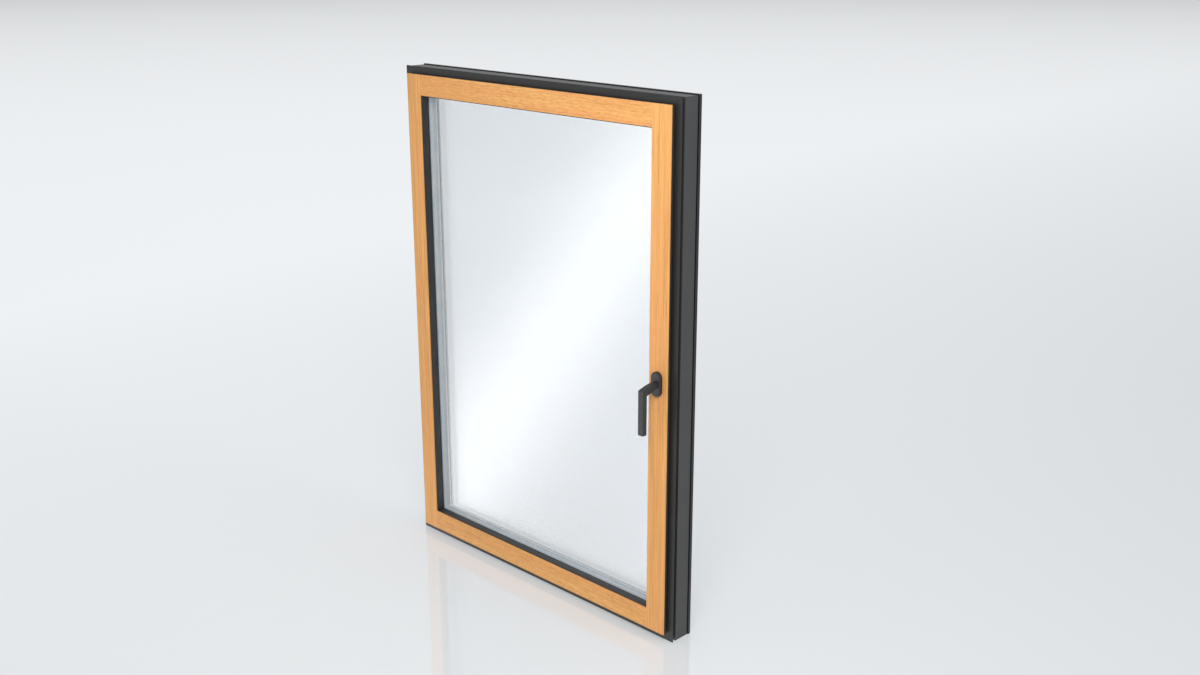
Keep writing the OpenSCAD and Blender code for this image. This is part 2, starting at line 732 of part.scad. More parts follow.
base_front = wood_y - rosette_base_t;
rosette_front = wood_y - rosette_t;
module rosette_base() color(black) in_place() difference() {
    less = 2 * rosette_wall + 0.4;
    stadium_block(rosette_w - less, rosette_h - less, [base_front, wood_y]);
    rod_y(spindle_x, [base_front - 1, wood_y + 1], spindle_z, collar_r + 0.05);
    for (s = [-1, 1])
        rod_y(spindle_x, [base_front - 1, wood_y + 1], spindle_z + s * screw_pitch / 2,
            handle_screw[0] + 0.1);
}
module rosette_cover() color(black) in_place() difference() {
    less = 2 * rosette_wall;
    stadium_block(rosette_w, rosette_h, [rosette_front, wood_y]);
    stadium_block(rosette_w - less, rosette_h - less, [rosette_front + rosette_wall, wood_y + 1]);
    rod_y(spindle_x, [rosette_front - 1, wood_y], spindle_z, collar_r + 0.3);
}
module handle_screws() color("silver") in_place() for (s = [-1, 1])
    translate([spindle_x, base_front, spindle_z + s * screw_pitch / 2]) rotate([90, 0, 0])
        screw(handle_screw);

// The lever: a collar in the rosette, a neck that falls to the elbow, a straight grip
module handle_lever() color(black) in_place() difference() {
    front = wood_y - grip_reach;
    elbow_top = spindle_z - elbow_drop;
    grip_x = [spindle_x - grip_w / 2, spindle_x + grip_w / 2];
    union() {
        rod_y(spindle_x, [rosette_front - 1, wood_y - 0.4], spindle_z, collar_r);
        hull() {
            rod_y(spindle_x, [rosette_front - 2, rosette_front - 0.5], spindle_z, neck_r);
            block(grip_x, [front, front + grip_t], [elbow_top - grip_t, elbow_top]);
        }
        block(grip_x, [front, front + grip_t], [spindle_z - grip_len, elbow_top]);
    }
    square_bar([rosette_front - 10, wood_y + 1], spindle_w + eps);
}
module spindle() color("silver") in_place() square_bar([rosette_front - 10, groove_y + 6], spindle_w);

frame_head();
frame_sill();
frame_jamb_left();
frame_jamb_right();
cover_head();
cover_sill();
cover_left();
cover_right();
outer_cladding();
cladding_clips();
frame_corner_keys();
outer_seal();
drain_caps();
hinge_frame_leaf_bottom();
hinge_frame_leaf_middle();
hinge_frame_leaf_top();
hinge_pins();
hinge_frame_screws();
keeps_side();
keep_top();
keep_screws();
run_up_block();
sash_stile_hinge();
sash_stile_lock();
sash_rail_top();
sash_rail_bottom();
facing_stile_hinge();
facing_stile_lock();
facing_rail_top();
facing_rail_bottom();
sash_corner_keys();
sash_outer_beads();
inner_seal();
pane_inner();
pane_middle();
pane_outer();
spacer_inner();
spacer_outer();
edge_seal();
glazing_gasket_inner();
glazing_gasket_outer();
glazing_blocks();
hinge_sash_leaf_bottom();
hinge_sash_leaf_middle();
hinge_sash_leaf_top();
hinge_sash_screws();
gear_case();
faceplates();
corner_drive();
faceplate_screws();
rosette_base();
rosette_cover();
handle_screws();
handle_lever();
spindle();
gear_pinion();
lock_rod_side();
cams_side();
lock_rod_top();
cam_top();
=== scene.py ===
# Side-hung casement window: dark frame, timber-faced sash, triple glazing, lever handle.
# Metres throughout; X along the width, Y from the room to the outside, Z up.
import json
import math

import bmesh
import bpy
import numpy as np
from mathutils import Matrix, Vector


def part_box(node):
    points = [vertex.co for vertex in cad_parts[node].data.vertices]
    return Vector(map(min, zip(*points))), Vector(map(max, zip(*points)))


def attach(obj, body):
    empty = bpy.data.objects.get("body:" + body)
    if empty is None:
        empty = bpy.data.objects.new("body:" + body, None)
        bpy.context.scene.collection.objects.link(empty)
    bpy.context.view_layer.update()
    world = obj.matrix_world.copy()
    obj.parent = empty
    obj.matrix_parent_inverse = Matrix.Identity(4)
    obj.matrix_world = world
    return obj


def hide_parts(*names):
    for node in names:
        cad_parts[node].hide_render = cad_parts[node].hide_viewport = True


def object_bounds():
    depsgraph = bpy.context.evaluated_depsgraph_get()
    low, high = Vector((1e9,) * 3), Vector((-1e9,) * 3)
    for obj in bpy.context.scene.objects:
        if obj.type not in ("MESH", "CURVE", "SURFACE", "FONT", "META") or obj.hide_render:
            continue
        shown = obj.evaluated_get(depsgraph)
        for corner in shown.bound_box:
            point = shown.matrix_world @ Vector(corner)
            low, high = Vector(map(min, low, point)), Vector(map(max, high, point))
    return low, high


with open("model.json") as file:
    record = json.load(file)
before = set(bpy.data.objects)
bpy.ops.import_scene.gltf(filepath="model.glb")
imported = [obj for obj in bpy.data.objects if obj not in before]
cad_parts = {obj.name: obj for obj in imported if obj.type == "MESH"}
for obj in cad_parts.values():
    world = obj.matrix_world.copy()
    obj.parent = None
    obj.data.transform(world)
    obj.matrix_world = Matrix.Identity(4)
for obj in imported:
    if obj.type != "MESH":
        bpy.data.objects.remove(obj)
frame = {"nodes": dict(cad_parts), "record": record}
cadBox = [list(corner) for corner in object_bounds()]
millimetre = 0.001
print("frame loaded:", len(frame["nodes"]), "nodes")


# Mesh helpers

def gridFaces(rows, columns, wrapRows, wrapColumns, start=0):
    # quads between neighbours of a grid of points, row by row
    i, j = np.meshgrid(np.arange(rows if wrapRows else rows - 1),
                       np.arange(columns if wrapColumns else columns - 1), indexing="ij")
    nextI, nextJ = (i + 1) % rows, (j + 1) % columns
    quads = np.stack([i * columns + j, i * columns + nextJ,
                      nextI * columns + nextJ, nextI * columns + j], -1)
    return (quads.reshape(-1, 4) + start).tolist()


def gridShape(points, wrapRows=False, wrapColumns=True, capped=True):
    # one closed surface from an array of rows of points, its first and last rows filled in
    rows, columns = points.shape[:2]
    faces = gridFaces(rows, columns, wrapRows, wrapColumns)
    if capped and not wrapRows:
        faces += [list(range(columns))[::-1],
                  list(range((rows - 1) * columns, rows * columns))]
    return points.reshape(-1, 3), faces


def joined(shapes):
    # several (points, faces) shapes as one
    starts = np.cumsum([0] + [len(points) for points, faces in shapes])
    return (np.concatenate([points for points, faces in shapes]),
            [[index + int(start) for index in face]
             for (points, faces), start in zip(shapes, starts) for face in faces])


def finishMesh(mesh, smoothAngle, merge=0.00001):
    # doubles merged, faces turned outwards, edges sharper than the angle kept sharp
    work = bmesh.new()
    work.from_mesh(mesh)
    bmesh.ops.remove_doubles(work, verts=work.verts, dist=merge)
    bmesh.ops.dissolve_degenerate(work, dist=merge, edges=work.edges)
    bmesh.ops.recalc_face_normals(work, faces=work.faces)
    work.to_mesh(mesh)
    work.free()
    mesh.polygons.foreach_set("use_smooth", np.ones(len(mesh.polygons), bool))
    mesh.set_sharp_from_angle(angle=math.radians(smoothAngle))
    mesh.update()


def linked(name, mesh, body, material, nodes):
    piece = bpy.data.objects.new(name, mesh)
    bpy.context.scene.collection.objects.link(piece)
    mesh.materials.clear()
    mesh.materials.append(material)
    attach(piece, body)
    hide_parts(*nodes)
    return piece


def addPiece(name, shape, body, material, nodes, smoothAngle=35):
    mesh = bpy.data.meshes.new(name)
    points, faces = shape
    mesh.from_pydata(points.tolist(), [], faces)
    finishMesh(mesh, smoothAngle)
    return linked(name, mesh, body, material, nodes)


# Degrees at which an edge is kept sharp, and from which it is eased
edges = {"sharp": 35, "easedFrom": 40, "flatWithin": 1}


def easeEdges(piece, width, segments=2):
    bevel = piece.modifiers.new("easedEdges", "BEVEL")
    bevel.width = width
    bevel.segments = segments
    bevel.limit_method = "ANGLE"
    bevel.angle_limit = math.radians(edges["easedFrom"])
    bevel.use_clamp_overlap = True
    bevel.harden_normals = True
    return piece


def easedCopy(node, width, body, material, segments=2):
    # a merged copy of a CAD node whose edges are eased by a bevel
    mesh = frame["nodes"][node].data.copy()
    mesh.name = node + "Eased"
    work = bmesh.new()
    work.from_mesh(mesh)
    bmesh.ops.remove_doubles(work, verts=work.verts, dist=0.000002)
    bmesh.ops.dissolve_limit(work, angle_limit=math.radians(edges["flatWithin"]),
                             verts=work.verts, edges=work.edges, delimit=set())
    work.to_mesh(mesh)
    work.free()
    mesh.polygons.foreach_set("use_smooth", np.ones(len(mesh.polygons), bool))
    mesh.set_sharp_from_angle(angle=math.radians(edges["sharp"]))
    piece = linked(node + "Eased", mesh, body, material, [node])
    return easeEdges(piece, width, segments)


def islandPoints(node):
    # the points of each separate solid of a node: points at one place share a label,
    # and the lowest label spreads over the triangles until nothing changes
    mesh = frame["nodes"][node].data
    points = np.zeros(len(mesh.vertices) * 3)
    mesh.vertices.foreach_get("co", points)
    points = points.reshape(-1, 3)
    corners = np.zeros(len(mesh.loops), int)
    mesh.loops.foreach_get("vertex_index", corners)
    corners = corners.reshape(-1, 3)
    same = np.unique(np.round(points * 100000), axis=0, return_inverse=True)[1].reshape(-1)
    labels = np.arange(same.max() + 1)
    triangles = same[corners]
    while True:
        lowest = labels[triangles].min(1)
        spread = labels.copy()
        np.minimum.at(spread, triangles.reshape(-1), np.repeat(lowest, 3))
        spread = spread[spread]
        if (spread == labels).all():
            break
        labels = spread
    return [points[labels[same] == label] for label in np.unique(labels)]


# Helpers for node materials

def newMaterial(name):
    material = bpy.data.materials.new(name)
    material.use_nodes = True
    material.node_tree.nodes.clear()
    return material, material.node_tree


def put(tree, kind, inputs=None, **settings):
    # a shader node with its settings, and its inputs linked or set
    node = tree.nodes.new("ShaderNode" + kind)
    for key, value in settings.items():
        setattr(node, key, value)
    for key, value in (inputs or {}).items():
        if isinstance(value, bpy.types.NodeSocket):
            tree.links.new(value, node.inputs[key])
        else:
            node.inputs[key].default_value = value
    return node


def stretched(tree, scale, offset=(0, 0, 0)):
    # object coordinates, stretched along the axes
    coordinates = put(tree, "TexCoord")
    return put(tree, "Mapping", {"Vector": coordinates.outputs["Object"], "Scale": scale,
                                 "Location": offset}).outputs["Vector"]


def noise(tree, vector, scale=1.0, detail=2.0, roughness=0.5, distortion=0.0):
    return put(tree, "TexNoise", {"Vector": vector, "Scale": scale, "Detail": detail,
                                  "Roughness": roughness,
                                  "Distortion": distortion}).outputs["Fac"]


def between(tree, value, low, high, inLow=0.0, inHigh=1.0):
    return put(tree, "MapRange", {"Value": value, "From Min": inLow, "From Max": inHigh,
                                  "To Min": low, "To Max": high}).outputs["Result"]


def blendColours(tree, factor, first, second, mode="MIX"):
    node = tree.nodes.new("ShaderNodeMix")
    node.data_type = "RGBA"
    node.blend_type = mode
    for socket, value in ((node.inputs[0], factor), (node.inputs[6], first),
                          (node.inputs[7], second)):
        if isinstance(value, bpy.types.NodeSocket):
            tree.links.new(value, socket)
        else:
            socket.default_value = value
    return node.outputs[2]


def arithmetic(tree, kind, first, second):
    node = put(tree, "Math", operation=kind)
    for socket, value in zip(node.inputs, (first, second)):
        if isinstance(value, bpy.types.NodeSocket):
            tree.links.new(value, socket)
        else:
            socket.default_value = value
    return node.outputs[0]


def surface(tree, values, bump=None, bumpDepth=0.0):
    # principled shader with an optional bump, wired to the output
    values = dict(values)
    if bump is not None:
        values["Normal"] = put(tree, "Bump", {"Height": bump, "Distance": bumpDepth,
                                              "Strength": 1.0}).outputs["Normal"]
    shader = put(tree, "BsdfPrincipled", values)
    put(tree, "OutputMaterial", {"Surface": shader.outputs["BSDF"]})


def grey(value, tint=(1.0, 1.0, 1.0)):
    return tuple(value * t for t in tint) + (1.0,)


def powderCoat(name, colour, roughness, texture=1700.0, depth=0.00002, specular=0.5):
    # even coat with a fine orange-peel skin and a slow drift of tone
    material, tree = newMaterial(name)
    plain = stretched(tree, (1, 1, 1))
    skin = noise(tree, plain, texture, 2.0, 0.45)
    drift = noise(tree, plain, 5.0, 2.0)
    fleck = noise(tree, plain, texture * 0.6, 1.0)
    tone = blendColours(tree, between(tree, drift, 0.0, 1.0, 0.3, 0.7),
                        grey(0.94, colour), grey(1.06, colour))
    tone = blendColours(tree, between(tree, fleck, 0.0, 0.10, 0.35, 0.75), tone,
                        grey(1.5, colour))
    surface(tree, {"Base Color": tone, "Specular IOR Level": specular,
                   "Roughness": between(tree, skin, roughness - 0.05, roughness + 0.07,
                                        0.25, 0.75)}, skin, depth)
    return material


# Timber: three colours, how often each layer of the grain repeats across and along a
# board in a metre, and how much darker or paler than its colour each layer's marks are
timber = {"deep": (0.75, 0.335, 0.095, 1.0), "light": (0.91, 0.475, 0.152, 1.0),
          "blush": (0.86, 0.375, 0.125, 1.0),
          "bands": (38.0, 0.9), "lines": 260.0, "waves": 22.0, "fibres": (900.0, 22.0),
          "pores": (1500.0, 70.0), "patches": (30.0, 2.2),
          "lineShade": 0.78, "waveShade": 0.74, "poreShade": 0.55, "fibreShine": 1.20,
          "relief": 0.00006, "gloss": (0.40, 0.56)}


def timberBoard(name, along, offset, lineLength, waveLength):
    # straight-grained board: broad bands, growth lines, fibres and short pores,
    # all drawn out along the board, with a slow wave that bends the growth lines
    material, tree = newMaterial(name)
    deep, light = timber["deep"], timber["light"]

    def drawnOut(across, length):
        scale = (across, across, length) if along == "z" else (length, across, across)
        return stretched(tree, scale, offset)

    def shaded(colour, share):
        return tuple(min(1.0, share * c) for c in colour[:3]) + (1.0,)

    bands = noise(tree, drawnOut(*timber["bands"]), 1.0, 2.0, 0.55, 0.25)
    lines = noise(tree, drawnOut(timber["lines"], lineLength), 1.0, 3.0, 0.62, 0.9)
    wave = put(tree, "TexWave", {"Vector": drawnOut(timber["waves"], waveLength), "Scale": 1.6,
                                 "Distortion": 6.5, "Detail": 2.5, "Detail Scale": 0.9,
                                 "Detail Roughness": 0.55},
               wave_type="BANDS", bands_direction="X" if along == "z" else "Z",
               wave_profile="SAW").outputs["Fac"]
    fibres = noise(tree, drawnOut(*timber["fibres"]), 1.0, 2.0, 0.6)
    pores = noise(tree, drawnOut(*timber["pores"]), 1.0, 1.0, 0.5)
    patch = noise(tree, drawnOut(*timber["patches"]), 1.0, 1.0)

    colour = blendColours(tree, between(tree, bands, 0.0, 1.0, 0.38, 0.62), deep, light)
    colour = blendColours(tree, between(tree, patch, 0.0, 0.8, 0.44, 0.62), colour,
                          timber["blush"])
    colour = blendColours(tree, between(tree, lines, 0.0, 0.75, 0.44, 0.66), colour,
                          shaded(deep, timber["lineShade"]))
    colour = blendColours(tree, between(tree, wave, 0.0, 0.38, 0.5, 1.0), colour,
                          shaded(deep, timber["waveShade"]))
    colour = blendColours(tree, between(tree, fibres, 0.0, 0.38, 0.45, 0.78), colour,
                          shaded(light, timber["fibreShine"]))
    colour = blendColours(tree, between(tree, pores, 0.0, 0.42, 0.64, 0.78), colour,
                          shaded(deep, timber["poreShade"]))
    relief = arithmetic(tree, "SUBTRACT", arithmetic(tree, "MULTIPLY", fibres, 0.6),
                        arithmetic(tree, "MULTIPLY", lines, 0.5))
    surface(tree, {"Base Color": colour, "Specular IOR Level": 0.35,
                   "Roughness": between(tree, lines, *timber["gloss"], 0.3, 0.7)},
            relief, timber["relief"])
    return material


def floatGlass(name, tint, gloss, glossAtEdge=0.44):
    # thin clear sheet: straight through, plus a mirror part that grows towards the edge of view
    material, tree = newMaterial(name)
    facing = put(tree, "LayerWeight", {"Blend": 0.28}).outputs["Facing"]
    mirrorPart = between(tree, facing, gloss, glossAtEdge)
    clear = put(tree, "BsdfTransparent", {"Color": tint})
    mirror = put(tree, "BsdfGlossy", {"Color": (1, 1, 1, 1), "Roughness": 0.02})
    mixed = put(tree, "MixShader", {0: mirrorPart, 1: clear.outputs[0], 2: mirror.outputs[0]})
    put(tree, "OutputMaterial", {"Surface": mixed.outputs[0]})
    return material


def plainMetal(name, colour, roughness, brushed=None, depth=0.000004, metallic=1.0,
               mottled=0.10, texture=600.0):
    # metal with a slow mottle of gloss and, if brushed, fine lines along one axis
    material, tree = newMaterial(name)
    plain = stretched(tree, (1, 1, 1))
    grain = noise(tree, stretched(tree, brushed) if brushed else plain,
                  1.0 if brushed else texture, 2.0, 0.6)
    mottle = noise(tree, plain, 70.0, 3.0, 0.6)
    tone = blendColours(tree, between(tree, mottle, 0.0, 1.0, 0.3, 0.7),
                        grey(1 - mottled, colour), grey(1 + mottled, colour))
    rough = arithmetic(tree, "ADD", between(tree, grain, -0.06, 0.06, 0.3, 0.7),
                       between(tree, mottle, roughness - 0.05, roughness + 0.05, 0.3, 0.7))
    surface(tree, {"Base Color": tone, "Metallic": metallic, "Roughness": rough}, grain, depth)
    return material


def softPlastic(name, colour, roughness, texture=900.0, depth=0.00001, specular=0.4):
    # moulded or extruded plastic or rubber with a fine matt skin
    material, tree = newMaterial(name)
    plain = stretched(tree, (1, 1, 1))
    skin = noise(tree, plain, texture, 2.0, 0.5)
    bloom = noise(tree, plain, 18.0, 3.0, 0.55)
    tone = blendColours(tree, between(tree, bloom, 0.0, 1.0, 0.3, 0.75), colour,
                        tuple(min(1.0, 1.25 * c + 0.004) for c in colour[:3]) + (1.0,))
    surface(tree, {"Base Color": tone, "Specular IOR Level": specular,
                   "Roughness": between(tree, skin, roughness - 0.06, roughness + 0.08,
                                        0.3, 0.7)}, skin, depth)
    return material


# One finish for each of the record's material slots
finishes = {
    "frame_powder_coat": powderCoat("anthracitePowderCoat", (0.043, 0.043, 0.0435), 0.42),
    # the cover's coat is the frame's anthracite darkened to about half: painted shade of the
    # proud timber sash falling on the room-side faces
    "cover_powder_coat": powderCoat("coverPowderCoat", (0.020, 0.0198, 0.0195), 0.44,
                                   specular=0.4),
    "cladding_powder_coat": powderCoat("claddingPowderCoat", (0.013, 0.0132, 0.014), 0.42),
    "sash_composite": powderCoat("graphiteComposite", (0.030, 0.0305, 0.0315), 0.46, 1200.0),
    "glass": floatGlass("floatGlass", (0.962, 0.969, 0.974, 1), 0.06),
    # the spacer colour is partly its own pale blue-grey and partly painted light, raised nearly
    # to white to stand in for the reflection in the glass over it
    "spacer": softPlastic("warmEdgeSpacer", (0.86, 0.94, 0.99, 1), 0.60, 2400.0),
    "edge_sealant": softPlastic("edgeSealant", (0.012, 0.012, 0.013, 1), 0.65, 500.0),
    "seal_rubber": softPlastic("sealRubber", (0.010, 0.010, 0.0105, 1), 0.58, 1500.0),
    "polyamide": softPlastic("blackPolyamide", (0.016, 0.016, 0.017, 1), 0.50),
    "key_aluminium": plainMetal("millAluminium", (0.60, 0.61, 0.62), 0.36,
                                (900.0, 900.0, 30.0)),
    "zinc_plate": plainMetal("zincPlatedSteel", (0.52, 0.525, 0.54), 0.34),
    "bright_steel": plainMetal("brightSteel", (0.60, 0.60, 0.60), 0.24, mottled=0.05),
    "gear_housing": plainMetal("castZinc", (0.42, 0.43, 0.44), 0.50, depth=0.00003,
                               texture=2200.0),
    "handle_black": powderCoat("handleCoat", (0.022, 0.0225, 0.024), 0.38, 2600.0, 0.000012),
}
# The four boards, each cut from another part of the grain
boardFinishes = {
    "facing_stile_hinge": timberBoard("timberHingeStile", "z", (3.1, 0.4, 7.7), 5.0, 1.3),
    "facing_stile_lock": timberBoard("timberLockStile", "z", (11.3, 5.2, 1.9), 5.0, 1.3),
    "facing_rail_top": timberBoard("timberTopRail", "x", (2.6, 8.1, 14.2), 46.0, 8.0),
    "facing_rail_bottom": timberBoard("timberBottomRail", "x", (6.9, 2.4, 4.4), 46.0, 8.0),
}
print("finishes made:", len(finishes) + len(boardFinishes))


record = frame["record"]
slotOf = {entry["node"]: entry["material_slot"] for entry in record["subparts"]}
bodyOf = {node: body for body, nodes in record["behaviour"]["bodies"].items()
          for node in nodes}
for node, part in frame["nodes"].items():
    part.data.materials.clear()
    part.data.materials.append(boardFinishes.get(node) or finishes[slotOf[node]])

# width of the eased edge on each node, in millimetres
edgeWidths = {
    "facing_stile_hinge": 0.7, "facing_stile_lock": 0.7,
    "facing_rail_top": 0.7, "facing_rail_bottom": 0.7,
    "cover_head": 0.5, "cover_sill": 0.5, "cover_left": 0.5, "cover_right": 0.5,
    "frame_head": 0.5, "frame_sill": 0.5, "frame_jamb_left": 0.5, "frame_jamb_right": 0.5,
    "sash_stile_hinge": 0.6, "sash_stile_lock": 0.6,
    "sash_rail_top": 0.6, "sash_rail_bottom": 0.6, "sash_outer_beads": 0.5,
    "pane_inner": 0.4, "pane_outer": 0.4,
    "drain_caps": 0.6, "run_up_block": 0.8, "glazing_blocks": 0.4, "cladding_clips": 0.6,
    "hinge_frame_leaf_bottom": 0.3, "hinge_frame_leaf_middle": 0.3,
    "hinge_frame_leaf_top": 0.3, "hinge_sash_leaf_bottom": 0.3,
    "hinge_sash_leaf_middle": 0.3, "hinge_sash_leaf_top": 0.3,
    "keeps_side": 0.25, "keep_top": 0.25, "faceplates": 0.25, "corner_drive": 0.25,
    "gear_case": 0.5, "lock_rod_side": 0.15, "lock_rod_top": 0.2, "gear_pinion": 0.15,
    "frame_corner_keys": 0.5, "sash_corner_keys": 0.5,
}
for node, width in edgeWidths.items():
    easedCopy(node, width * millimetre, bodyOf[node],
              boardFinishes.get(node) or finishes[slotOf[node]])
print("eased members:", len(edgeWidths))


# Outlines carried round the window

def rectangleOf(low, high, inward=0.0):
    return np.array([low.x + inward, low.z + inward, high.x - inward, high.z - inward])


def roundedOutline(corners, radius, steps=4):
    # each corner of a closed outline becomes a curve that starts and ends at `radius`
    # from it: the quadratic through (start, corner, end), (1-t)^2 a + 2t(1-t) c + t^2 b
    corners = np.array(corners, float)
    before, after = np.roll(corners, 1, 0) - corners, np.roll(corners, -1, 0) - corners
    reach = np.minimum(radius, 0.45 * np.minimum(np.linalg.norm(before, axis=1),
                                                 np.linalg.norm(after, axis=1)))[:, None]
    start = corners + before / np.linalg.norm(before, axis=1)[:, None] * reach
    end = corners + after / np.linalg.norm(after, axis=1)[:, None] * reach
    t = np.linspace(0, 1, steps + 1)[None, :, None]
    curve = ((1 - t) ** 2 * start[:, None] + 2 * t * (1 - t) * corners[:, None]
             + t ** 2 * end[:, None])
    return curve.reshape(-1, 2)


def mitredRing(outline, outer, inner, gap):
    # outline points (in, y) carried along the four sides between two rectangles; a point
    # `in` from the outer edge ends where the mitre line from outer to inner corner is
    # `in` away, less the hairline gap on the uprights
    inward, depth = outline[:, 0], outline[:, 1]
    shapes = []
    for side, sign, across, low, high in (("left", 1, 0, 1, 3), ("right", -1, 2, 1, 3),
                                          ("bottom", 1, 1, 0, 2), ("top", -1, 3, 0, 2)):
        place = outer[across] + sign * inward
        share = inward / (sign * (inner[across] - outer[across]))
        upright = side in ("left", "right")
        hairline = gap if upright else 0.0
        first = outer[low] + share * (inner[low] - outer[low]) + hairline
        last = outer[high] + share * (inner[high] - outer[high]) - hairline
        ends = []
        for end in (first, last):
            ends.append(np.stack([place, depth, end] if upright else [end, depth, place], -1))
        shapes.append(gridShape(np.stack(ends)))
    return joined(shapes)


def cornerPath(rectangle, radius, steps=6):
    # the outer edge of a rectangle with rounded corners, clockwise from the left side's
    # top: base = corner centre + radius * normal, with the outward normal beside it
    x0, z0, x1, z1 = rectangle
    centres = np.array([[x0 + radius, z1 - radius], [x1 - radius, z1 - radius],
                        [x1 - radius, z0 + radius], [x0 + radius, z0 + radius]])
    starts = np.radians([180, 90, 0, -90])
    angle = starts[:, None] - np.linspace(0, math.pi / 2, steps + 1)[None, :]
    normal = np.stack([np.cos(angle), np.sin(angle)], -1)
    return ((centres[:, None] + radius * normal).reshape(-1, 2), normal.reshape(-1, 2))


def carried(outline, base, normal):
    # every outline point (in, y) goes `in` inwards from each point of the path
    place = base[:, None] - outline[None, :, :1] * normal[:, None]
    depth = np.broadcast_to(outline[None, :, 1], place.shape[:2])
    return np.stack([place[..., 0], depth, place[..., 1]], -1)


windowRectangle = np.array([cadBox[0][0], cadBox[0][2], cadBox[1][0], cadBox[1][2]])
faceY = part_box("cover_left")[0].y

# Outside cladding: the same bent section as in the frame, with rolled outer corners.
# Distances in millimetres: along the section inwards, and back from the room face.
cladding = {"corner": 1.6, "gap": 0.15, "sheet": 2.0, "front": 64.0, "back": 74.0,
            "leg": 55.0, "lip": 45.0, "lipFront": 63.5, "ease": 0.2}


def claddingShape():
    # one bent section, its corners rounded, carried along four mitred sides
    c = cladding
    outline = [[0, c["front"]], [0, c["back"]], [c["leg"], c["back"]],
               [c["leg"], c["lipFront"]], [c["lip"], c["lipFront"]],
               [c["lip"], c["lipFront"] + c["sheet"]],
               [c["leg"] - c["sheet"], c["lipFront"] + c["sheet"]],
               [c["leg"] - c["sheet"], c["back"] - c["sheet"]],
               [c["sheet"], c["back"] - c["sheet"]], [c["sheet"], c["front"]]]
    outline = roundedOutline(outline, c["corner"]) * millimetre + [0, faceY]
    inner = windowRectangle + np.array([1, 1, -1, -1]) * c["leg"] * millimetre
    return mitredRing(outline, windowRectangle, inner, c["gap"] * millimetre)


easeEdges(addPiece("outerCladdingRing", claddingShape(), "frame",
                   finishes["cladding_powder_coat"], ["outer_cladding"]),
          cladding["ease"] * millimetre, 1)


# Seals between frame and sash, in millimetres; `bulb` is the bulb's part of the width
seals = {"corner": 7, "frameWidth": 6, "sashWidth": 5.4, "bulb": 0.86, "hingeBreak": 33}


def bulbOutline(width, thick, bulb):
    # half a circle, (0.5 + b/2 cos a, 0.62 - 0.62 sin a), `bulb` of the width, over two
    # small feet: (in, back) points from the pressed side round to the foot, as fractions
    angle = np.linspace(math.pi, 0, 13)
    dome = np.stack([0.5 + 0.5 * bulb * np.cos(angle), 0.62 - 0.62 * np.sin(angle)], -1)
    foot = np.array([[0.5 + 0.5 * bulb, 0.72], [0.98, 0.80], [1.0, 0.88], [1.0, 1.0],
                     [0.62, 1.0], [0.58, 0.90], [0.42, 0.90], [0.38, 1.0], [0.0, 1.0],
                     [0.0, 0.88], [0.02, 0.80], [0.5 - 0.5 * bulb, 0.72]])
    return np.concatenate([dome, foot]) * [width, thick]


def ringSeal(name, node, outline, radius, body, slot):
    # an outline, measured from the node's outer edge, carried right round
    low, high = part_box(node)
    base, normal = cornerPath(rectangleOf(low, high), radius)
    shape = gridShape(carried(outline + [0, low.y], base, normal), wrapRows=True)
    return addPiece(name, shape, body, finishes[slot], [node])


def sealSize(node, width):
    low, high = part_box(node)
    return width * millimetre, high.y - low.y


sealCorner = seals["corner"] * millimetre
width, thick = sealSize("outer_seal", seals["frameWidth"])
ringSeal("outerBulbSeal", "outer_seal", bulbOutline(width, thick, seals["bulb"]),
         sealCorner, "frame", "seal_rubber")

# The sash seal stops at each hinge: one run round the free sides, two straight runs
# between the hinges. Its pressed side is at the back, so the bulb points outwards.
hingeNodes = ["hinge_sash_leaf_bottom", "hinge_sash_leaf_middle", "hinge_sash_leaf_top"]
hingeMiddles = [(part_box(node)[0].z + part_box(node)[1].z) / 2 for node in hingeNodes]
sealBreak = seals["hingeBreak"] * millimetre
low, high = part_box("inner_seal")
width, thick = sealSize("inner_seal", seals["sashWidth"])
bulb = bulbOutline(width, thick, seals["bulb"])
bulb = np.stack([bulb[:, 0], thick - bulb[:, 1]], -1) + [0, low.y]
base, normal = cornerPath(rectangleOf(low, high), sealCorner)
sideNormal = np.array([[-1.0, 0.0]])
start = np.array([[low.x, hingeMiddles[2] + sealBreak]])
end = np.array([[low.x, hingeMiddles[0] - sealBreak]])
runs = [gridShape(carried(bulb, np.concatenate([start, base, end]),
                          np.concatenate([sideNormal, normal, sideNormal])))]
for below, above in zip(hingeMiddles[:-1], hingeMiddles[1:]):
    ends = np.array([[low.x, below + sealBreak], [low.x, above - sealBreak]])
    runs.append(gridShape(carried(bulb, ends, np.repeat(sideNormal, 2, 0))))
addPiece("sashBulbSeal", joined(runs), "sash", finishes["seal_rubber"],
         ["inner_seal"])


# Glazing gaskets, in millimetres; `lip` is the lip's part of the width
gaskets = {"innerWidth": 9.5, "outerWidth": 7.0, "lip": 0.14, "cornerMore": 0.4}


def gasketOutline(width, thick, lip):
    # wedge that narrows to a rounded lip at the sight edge, with a notch on each face
    across = np.array([0.0, 0.0, 0.30, 0.36, 0.42, 1 - lip, 1 - 0.4 * lip, 1.0,
                       1.0, 1 - 0.4 * lip, 1 - lip, 0.55, 0.48, 0.41])
    depth = np.array([0.0, 1.0, 1.0, 0.86, 1.0, 1.0, 0.97, 0.80,
                      0.26, 0.08, 0.0, 0.0, 0.12, 0.0])
    return np.stack([across * width, depth * thick], -1)


for name, node, width in (("innerGasket", "glazing_gasket_inner", gaskets["innerWidth"]),
                          ("outerGasket", "glazing_gasket_outer", gaskets["outerWidth"])):
    width, thick = sealSize(node, width)
    ringSeal(name, node, gasketOutline(width, thick, gaskets["lip"]),
             width + gaskets["cornerMore"] * millimetre, "sash", "seal_rubber")


# One spacer bar bridges both gaps, and the middle pane stands in its face. Millimetres
spacer = {"width": 7, "cornerMore": 0.8, "paneSunk": 0.6, "paneEase": 0.2}


